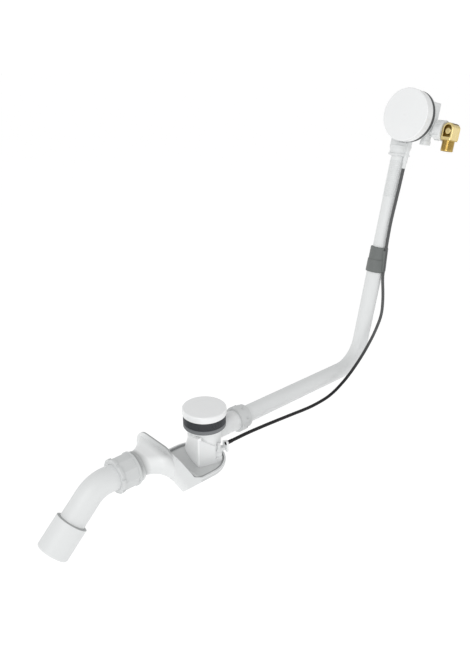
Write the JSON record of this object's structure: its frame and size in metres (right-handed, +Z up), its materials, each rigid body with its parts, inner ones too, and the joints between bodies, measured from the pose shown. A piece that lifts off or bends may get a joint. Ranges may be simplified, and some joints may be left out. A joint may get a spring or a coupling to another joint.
{
  "type": "bath waste and overflow",
  "caption": "Bath waste and overflow with trap, pop-up plug worked by a turning cap through a cable, telescopic overflow pipe and a water inlet behind the cap.",
  "frame": {"origin": "centre of the waste seat, on the drain axis at the top of the grey gasket", "axes": "+Z up along the drain axis, +X from the drain towards the overflow, +Y completes a right-handed set"},
  "size_m": [0.8149, 0.1578, 0.6176],
  "materials": {
    "white_gloss": "smooth gloss",
    "white_plastic": "moulded satin",
    "black_rubber": "matt",
    "grey_rubber": "matt",
    "grey_plastic": "satin",
    "cable_sheath": "satin",
    "steel": "brushed",
    "brass": "cast and turned"
  },
  "bodies": {
    "fittings": {"body_cover": "white_plastic", "bowden_cable": "cable_sheath", "branch_nut": "white_plastic", "branch_seal": "black_rubber", "brass_elbow": "brass", "drain_body": "white_plastic", "drain_cable_ferrule": "cable_sheath", "drain_flange": "steel", "drain_gasket": "grey_rubber", "drain_seal": "black_rubber", "fixing_flange": "white_plastic", "flange_screws": "steel", "head_cable_ferrule": "white_plastic", "inlet_nut": "white_plastic", "inlet_washer": "black_rubber", "lower_pipe": "white_plastic", "outlet_elbow": "white_plastic", "outlet_nut": "white_plastic", "outlet_seal": "black_rubber", "outlet_sleeve": "white_plastic", "overflow_body": "white_plastic", "overflow_seal": "black_rubber", "pipe_clip": "grey_plastic", "pipe_retainer": "white_plastic", "sleeve_seal": "grey_rubber", "stub_cap": "white_plastic", "telescope_seal": "black_rubber", "trap_body": "white_plastic", "trap_seal": "black_rubber", "upper_pipe": "white_plastic"},
    "turning_cap": {"rosette": "white_gloss", "drive_spindle": "brass", "cable_drum": "grey_plastic"},
    "plug": {"plug_cover": "white_gloss", "plug_seal": "black_rubber", "plug_stem": "steel"},
    "lifter": {"lifter_lever": "grey_plastic"}
  },
  "joints": [
    {"name": "cap_turn", "type": "hinge", "parent": "fittings", "child": "turning_cap", "pos_m": [0.4446, -0.026, 0.4535], "axis": [0.9806, 0, -0.196], "range_deg": [0, 90]},
    {"name": "plug_lift", "type": "slide", "parent": "fittings", "child": "plug", "axis": [0, 0, 1], "range_m": [0, 0.0078]},
    {"name": "lever_swing", "type": "hinge", "parent": "fittings", "child": "lifter", "pos_m": [0.01245, -0.00374, -0.0445], "axis": [0.2874, 0.9578, 0], "range_deg": [0, 38.4]}
  ],
  "couplings": [
    {"joint": "plug_lift", "follows": "cap_turn", "m_per_rad": 0.00496},
    {"joint": "lever_swing", "follows": "cap_turn", "ratio": 0.4266}
  ]
}
